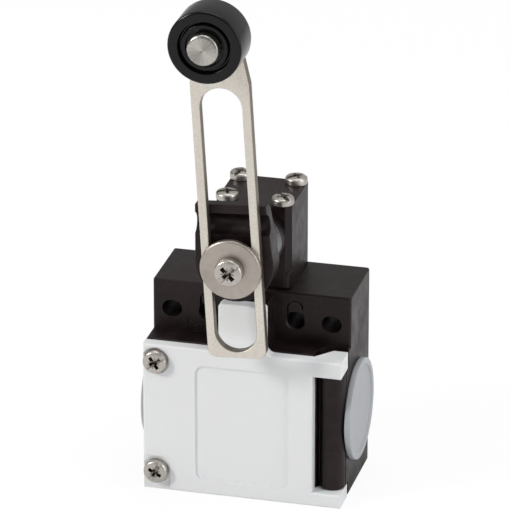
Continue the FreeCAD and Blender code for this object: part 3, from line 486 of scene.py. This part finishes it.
def lathe(profile, segments):
    """Revolve (radius, height) points in millimetres about Z into a bmesh.

    A profile that ends where it starts gives two rings of vertices in one place.
    """
    builder = bmesh.new()
    rings = []
    for radius, height in profile:
        if radius == 0:
            rings.append([builder.verts.new((0, 0, height * MM))])
            continue
        ring = []
        for index in range(segments):
            angle = 2 * math.pi * index / segments
            ring.append(builder.verts.new((radius * MM * math.cos(angle),
                                           radius * MM * math.sin(angle), height * MM)))
        rings.append(ring)
    for lower, upper in zip(rings, rings[1:]):
        for index in range(segments):
            ahead = (index + 1) % segments
            corners = [lower[index % len(lower)], lower[ahead % len(lower)],
                       upper[ahead % len(upper)], upper[index % len(upper)]]
            # Beside a point on the axis two corners are the same vertex, so the face has three.
            builder.faces.new(dict.fromkeys(corners))
    bmesh.ops.recalc_face_normals(builder, faces=builder.faces)
    return builder


def round_corner(centre, radius, start, end, steps=5):
    """Points of an arc between two angles in degrees, as (radius, height) pairs."""
    points = []
    for step in range(steps + 1):
        angle = math.radians(start + (end - start) * step / steps)
        points.append((centre[0] + radius * math.cos(angle),
                       centre[1] + radius * math.sin(angle)))
    return points


def towards_front(builder, centre):
    """Turn a bmesh drawn along +Z so that it points to the front, and put it at centre."""
    turn = Matrix.Rotation(math.radians(90), 4, "X")
    builder.transform(Matrix.Translation(centre) @ turn)


def towards_side(builder, centre, side):
    """The same, pointing to the right where side is +1 and to the left where it is -1."""
    turn = Matrix.Rotation(math.radians(90) * side, 4, "Y")
    builder.transform(Matrix.Translation(centre) @ turn)


# ---------------------------------------------------------------- screws
# Thread radius: (head radius, head height), in millimetres, of cheese-head screws.
SCREW_HEADS = {1.5: (2.75, 2.0), 1.75: (3.0, 2.4), 2.0: (3.5, 2.6)}


def cut_out(base, mesh_builder):
    """Cut a bmesh out of an object by an exact boolean, and apply it to the object's mesh."""
    tool = object_of("cutter", mesh_builder)
    modifier = base.modifiers.new("cut_out", "BOOLEAN")
    modifier.operation = "DIFFERENCE"
    modifier.solver = "EXACT"
    modifier.object = tool
    bpy.context.view_layer.update()
    graph = bpy.context.evaluated_depsgraph_get()
    cut_mesh = bpy.data.meshes.new_from_object(base.evaluated_get(graph))
    base.modifiers.clear()
    whole_mesh = base.data
    base.data = cut_mesh
    bpy.data.meshes.remove(whole_mesh)
    bpy.data.objects.remove(tool)


def tapered_bar(reach, half, floor, top, taper, spin):
    """A bar through the axis for a screw recess; its sides and ends narrow towards the floor."""
    builder = bmesh.new()
    narrowing = (top - floor) * taper
    corners = []
    for height, shrink in ((floor, narrowing), (top, 0.0)):
        for sx, sy in ((-1, -1), (1, -1), (1, 1), (-1, 1)):
            point = Vector((sx * (reach - shrink), sy * (half - shrink / 2), height))
            corners.append(builder.verts.new(point * MM))
    turn = Matrix.Rotation(math.radians(spin), 3, "Z")
    bmesh.ops.rotate(builder, verts=corners, matrix=turn)
    builder.faces.new(corners[3::-1])
    builder.faces.new(corners[4:])
    for index in range(4):
        ahead = (index + 1) % 4
        builder.faces.new((corners[index], corners[ahead], corners[ahead + 4],
                           corners[index + 4]))
    return builder


def screw_profile(thread_r, length, head_r, head_h):
    """Half section of a screw whose head has a rounded shoulder under a low dome."""
    tip_chamfer = 0.3
    tip_length = 0.4
    edge_break = 0.12
    crown = 0.18
    shoulder = head_h * 0.34
    shoulder_turn = 66
    profile = [(0, -length), (thread_r - tip_chamfer, -length), (thread_r, tip_length - length),
               (thread_r, 0), (head_r - edge_break, 0), (head_r, edge_break)]
    profile += round_corner((head_r - shoulder, head_h - crown - shoulder), shoulder, 0,
                            shoulder_turn)
    dome_r, dome_h = profile[-1]
    profile += [(dome_r * share, dome_h + (head_h - dome_h) * (1 - share * share))
                for share in (0.97, 0.8, 0.6, 0.4, 0.2)]
    profile += [(0, head_h)]
    return profile


def screw(name, thread_r, length, centre, pointing, spin):
    """A screw with a cross and a slot in its head, whose underside lies at centre."""
    head_r, head_h = SCREW_HEADS[thread_r]
    head = object_of(name, lathe(screw_profile(thread_r, length, head_r, head_h),
                                 SCREW_SEGMENTS))
    above = head_h + 0.4
    cross_reach = head_r * 0.62
    # Reach, half width, floor, taper and angles of the cross, the slot and the thin marks
    # between the arms of the cross.
    cross = (cross_reach, head_r * 0.17, head_h * 0.12, 0.2, (0, 90))
    slot = (head_r * 1.2, head_r * 0.20, head_h * 0.66, 0.02, (0,))
    marks = (cross_reach * 0.80, head_r * 0.035, head_h * 0.80, 0.12, (45, 135))
    for reach, half, floor, taper, angles in (cross, slot, marks):
        for angle in angles:
            cut_out(head, tapered_bar(reach, half, floor, above, taper, angle))
    head.data.name = name
    turn = Matrix.Rotation(math.radians(spin), 4, "Z")
    if pointing == "front":
        turn = Matrix.Rotation(math.radians(90), 4, "X") @ turn
    head.data.transform(Matrix.Translation(centre) @ turn)
    return head


def corners_of(low, high, inset, along):
    """Points set in from the corners of a box, in the plane across the axis number along.

    They are rounded to a hundredth of a millimetre, so that a box as narrow as one head has
    one point there and not two.
    """
    digits = 5
    across = [axis for axis in range(3) if axis != along]
    spans = [sorted({round(low[axis] + inset, digits), round(high[axis] - inset, digits)})
             for axis in across]
    return [[first, second] for first in spans[0] for second in spans[1]]


def make_screws(node, thread_r, body, pointing, spins):
    """The screws of a group node, pointing to the front or up.

    Each spin is the chance angle in degrees at which that screw stopped.
    """
    head_r, head_h = SCREW_HEADS[thread_r]
    low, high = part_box(node)
    if pointing == "front":
        along = 1
        head_plane = low.y + head_h * MM
        length = (high.y - head_plane) / MM
    else:
        along = 2
        head_plane = high.z - head_h * MM
        length = (head_plane - low.z) / MM
    for index, corner in enumerate(corners_of(low, high, head_r * MM, along)):
        corner.insert(along, head_plane)
        made = screw(f"{node}_piece_{index + 1}", thread_r, length, Vector(corner), pointing,
                     spins[index])
        finish_piece(made, "bright_screw", body, node)


# ---------------------------------------------------------------- turned pieces
def make_washer():
    """The clamp washer, with a rounded front rim; it stands a hair off the sliding lever."""
    low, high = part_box("clamp_washer")
    radius = (high.x - low.x) / 2 / MM
    thick = (high.y - low.y) / MM
    bore = 2.1
    rim = 0.55
    edge_break = 0.15
    lever_gap = 0.02
    profile = [(bore, lever_gap), (radius - edge_break, lever_gap), (radius, edge_break),
               (radius, thick - rim)]
    profile += round_corner((radius - rim, thick - rim), rim, 0, 90)[1:]
    profile += [(radius - rim - SHADE_RING, thick), (bore + edge_break + SHADE_RING, thick),
                (bore + edge_break, thick), (bore, thick - edge_break), (bore, lever_gap)]
    builder = lathe(profile, ROUND_SEGMENTS)
    towards_front(builder, Vector((SHAFT_AXIS.x, high.y, SHAFT_AXIS.z)))
    piece("clamp_washer_piece", builder, "washer_steel", "shaft", "clamp_washer")


def make_roller():
    """The roller: a flat outer ring, a groove, a lower inner ring and a recess for the pin."""
    low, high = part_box("roller")
    radius = (high.x - low.x) / 2 / MM
    front = (high.y - low.y) / MM
    bore = 2.55
    rear_boss_r = 4.2
    rear_rim = 1.2
    rear_depth = 0.35
    boss_slope = 0.2
    rim_slope = 0.4
    rear_round = 0.5
    front_round = 0.55
    groove_outer, groove_inner = 6.45, 5.70
    groove_floor = front - 1.40
    groove_lip = 0.20
    groove_fillet = 0.15
    groove_foot = 0.25
    outer_draft, inner_draft = 0.05, 0.10
    inner_face = front - 0.32
    inner_round = 0.18
    recess_r = 4.57
    recess_floor = front - 0.90
    ring = 0.07        # the flat ring beside a rounding
    profile = [(bore, 0), (rear_boss_r, 0), (rear_boss_r + boss_slope, rear_depth),
               (radius - rear_rim - rim_slope, rear_depth), (radius - rear_rim, 0)]
    profile += round_corner((radius - rear_round, rear_round), rear_round, -90, 0)
    profile += round_corner((radius - front_round, front - front_round), front_round, 0, 90)
    profile += [(radius - front_round - ring, front), (groove_outer + groove_lip + ring, front)]
    profile += round_corner((groove_outer + groove_lip, front - groove_lip), groove_lip, 90, 180,
                            steps=3)
    profile += [(groove_outer - outer_draft, groove_floor + groove_fillet),
                (groove_outer - groove_foot, groove_floor),
                (groove_inner + groove_foot, groove_floor),
                (groove_inner + inner_draft, groove_floor + groove_fillet)]
    profile += round_corner((groove_inner - inner_round, inner_face - inner_round), inner_round,
                            0, 90, steps=3)
    profile += round_corner((recess_r + inner_round, inner_face - inner_round), inner_round,
                            90, 180, steps=3)
    profile += [(recess_r - ring, recess_floor), (bore, recess_floor), (bore, 0)]
    builder = lathe(profile, ROLLER_SEGMENTS)
    towards_front(builder, Vector((ROLLER_AXIS.x, high.y, ROLLER_AXIS.z)))
    piece("roller_piece", builder, "roller_plastic", "roller", "roller")


def make_roller_pin():
    """The pin: a turned head with a rounded rim and a centre mark, a stem and a rivet end."""
    low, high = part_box("roller_pin")
    head_r = (high.x - low.x) / 2 / MM
    head_front = (high.y - low.y) / MM
    stem_r = 2.5
    rivet_r = stem_r + 0.7
    rivet_h = 0.9
    rivet_flat_r = 0.5
    rivet_crown = 0.05
    rivet_round = 0.25
    head_back = head_front - 2.7
    edge_break = 0.15
    rim = 0.75
    face_r = head_r - rim - 0.05
    mark_r = 0.36
    mark_depth = 0.12
    profile = [(0, 0), (rivet_flat_r, 0), (rivet_r - rivet_round, rivet_crown),
               (rivet_r, rivet_crown + rivet_round), (rivet_r, rivet_h), (stem_r, rivet_h),
               (stem_r, head_back), (head_r - edge_break, head_back),
               (head_r, head_back + edge_break), (head_r, head_front - rim)]
    profile += round_corner((head_r - rim, head_front - rim), rim, 8, 78, steps=6)
    profile += [(face_r, head_front), (face_r - SHADE_RING, head_front),
                (mark_r + SHADE_RING, head_front), (mark_r, head_front),
                (mark_r / 3, head_front - mark_depth * 0.8), (0, head_front - mark_depth)]
    builder = lathe(profile, ROUND_SEGMENTS)
    towards_front(builder, Vector((ROLLER_AXIS.x, high.y, ROLLER_AXIS.z)))
    piece("roller_pin_piece", builder, "pin_steel", "lever", "roller_pin")


def make_plug(node, side):
    """A blanking plug with a raised rim and a dished face; side is +1 right and -1 left."""
    low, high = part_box(node)
    centre = (low + high) / 2
    flange_r = (high.z - low.z) / 2 / MM
    outer = (high.x if side > 0 else -low.x) / MM
    inner = (low.x if side > 0 else -high.x) / MM
    thick = 1.6
    body_face = outer - thick
    spigot_r = 9.15
    spigot_end = inner - body_face
    core_r = 7.2
    web = 1.2
    edge_break = 0.25
    rim = 0.28
    rim_inner = flange_r - 1.45
    dish = 0.42
    profile = [(0, -web), (core_r, -web), (core_r, spigot_end), (spigot_r, spigot_end),
               (spigot_r, 0), (flange_r - edge_break, 0), (flange_r, edge_break)]
    profile += round_corner((flange_r - rim, thick - rim), rim, 0, 90)
    # The face falls from the rim in three steps and rises a little again to its middle.
    profile += [(flange_r - rim - SHADE_RING, thick), (rim_inner, thick),
                (rim_inner - 0.15, thick - 0.1), (rim_inner - 0.35, thick - dish * 0.9),
                (rim_inner - 0.65, thick - dish), (0, thick - dish * 0.86)]
    builder = lathe(profile, ROUND_SEGMENTS)
    towards_side(builder, Vector((side * body_face * MM, centre.y, centre.z)), side)
    piece(node + "_piece", builder, "plug_plastic", "housing", node)


# ---------------------------------------------------------------- stage
def make_floor():
    """A floor that the camera sees nearly white, and that lights the object like grey paper."""
    height = cad_bounds[0].z - FLOOR_GAP
    builder = bmesh.new()
    corners = [builder.verts.new((x * FLOOR_HALF_SIZE, y * FLOOR_HALF_SIZE, height))
               for x, y in ((-1, -1), (1, -1), (1, 1), (-1, 1))]
    builder.faces.new(corners)
    floor = object_of("floor", builder)
    material = bpy.data.materials.new("floor")
    material.use_nodes = True
    tree = material.node_tree
    tree.nodes.clear()
    out = tree.nodes.new("ShaderNodeOutputMaterial")
    mix = tree.nodes.new("ShaderNodeMixShader")
    diffuse = tree.nodes.new("ShaderNodeBsdfDiffuse")
    glow = tree.nodes.new("ShaderNodeEmission")
    path = tree.nodes.new("ShaderNodeLightPath")
    share = tree.nodes.new("ShaderNodeMath")
    diffuse.inputs["Color"].default_value = grey(FLOOR_GREY)
    glow.inputs["Color"].default_value = grey(1.0)
    glow.inputs["Strength"].default_value = FLOOR_GLOW
    share.operation = "MULTIPLY"
    share.inputs[1].default_value = FLOOR_GLOW_SHARE
    tree.links.new(path.outputs["Is Camera Ray"], share.inputs[0])
    tree.links.new(share.outputs[0], mix.inputs[0])
    tree.links.new(diffuse.outputs[0], mix.inputs[1])
    tree.links.new(glow.outputs[0], mix.inputs[2])
    tree.links.new(mix.outputs[0], out.inputs[0])
    floor.data.materials.append(material)


def softbox(name, place, width, height, power, colour=(1, 1, 1)):
    """A rectangular light that faces the object, in metres and watts."""
    light = bpy.data.lights.new(name, "AREA")
    light.shape = "RECTANGLE"
    light.size = width
    light.size_y = height
    light.energy = power
    light.color = colour
    made = place_in_scene(name, light)
    made.location = place
    aim = Vector(LIGHT_TARGET) - Vector(place)
    made.rotation_euler = aim.to_track_quat("-Z", "Y").to_euler()


def make_world():
    """A pale studio: bright overhead and to the right, dimmer low down in front."""
    world = bpy.data.worlds.new("studio")
    bpy.context.scene.world = world
    world.use_nodes = True
    tree = world.node_tree

    def step(operation, first, second):
        made = tree.nodes.new("ShaderNodeMath")
        made.operation = operation
        for socket, value in zip(made.inputs, (first, second)):
            if isinstance(value, bpy.types.NodeSocket):
                tree.links.new(value, socket)
            else:
                socket.default_value = value
        return made.outputs[0]

    split = tree.nodes.new("ShaderNodeSeparateXYZ")
    tree.links.new(tree.nodes.new("ShaderNodeTexCoord").outputs["Generated"], split.inputs[0])
    level = WORLD_LEVEL
    for axis, gain in WORLD_GAIN.items():
        level = step("ADD", step("MULTIPLY", split.outputs[axis], gain), level)
    # The camera itself sees a white backdrop.
    level = step("ADD", level, tree.nodes.new("ShaderNodeLightPath").outputs["Is Camera Ray"])
    tree.links.new(level, tree.nodes["Background"].inputs["Strength"])
    tree.nodes["Background"].inputs["Color"].default_value = grey(1.0)


def make_lights():
    softbox("key", (-0.75, -0.55, 0.50), width=0.22, height=0.30, power=6.0,
            colour=(1.0, 0.985, 0.96))
    softbox("side", (0.85, -0.25, 0.35), width=0.35, height=0.80, power=3.0,
            colour=(0.97, 0.985, 1.0))
    softbox("top", (0.05, 0.15, 0.95), width=0.70, height=0.50, power=3.0)


def make_camera():
    camera = bpy.data.cameras.new("camera")
    camera.lens = CAMERA_LENS_MM
    camera.sensor_width = CAMERA_SENSOR_MM
    camera.clip_end = CAMERA_REACH
    made = place_in_scene("camera", camera)
    made.location = CAMERA_PLACE
    made.rotation_euler = Vector(CAMERA_FORWARD).to_track_quat("-Z", "Y").to_euler()
    bpy.context.scene.camera = made


# ---------------------------------------------------------------- assembly
def dress_cad_nodes():
    """Give every CAD node a procedural material; the toothed collar's is its own."""
    own_material = {"index_collar": toothed_collar()}
    for name, thing in nodes.items():
        slot = SLOT_OF[name]
        thing.data.materials.clear()
        thing.data.materials.append(own_material.get(name, MATERIALS[slot]))


dress_cad_nodes()
make_screws("cover_screws", thread_r=1.75, body="cover", pointing="front", spins=(62, 35))
make_screws("clamp_screw", thread_r=2.0, body="shaft", pointing="front", spins=(46,))
make_screws("head_screws", thread_r=1.5, body="housing", pointing="up", spins=(20, 75, 130, 40))
make_washer()
make_roller()
make_roller_pin()
make_plug("left_entry_plug", side=-1)
make_plug("right_entry_plug", side=1)
make_floor()
make_world()
make_lights()
make_camera()
bpy.context.scene.view_settings.view_transform = "Standard"
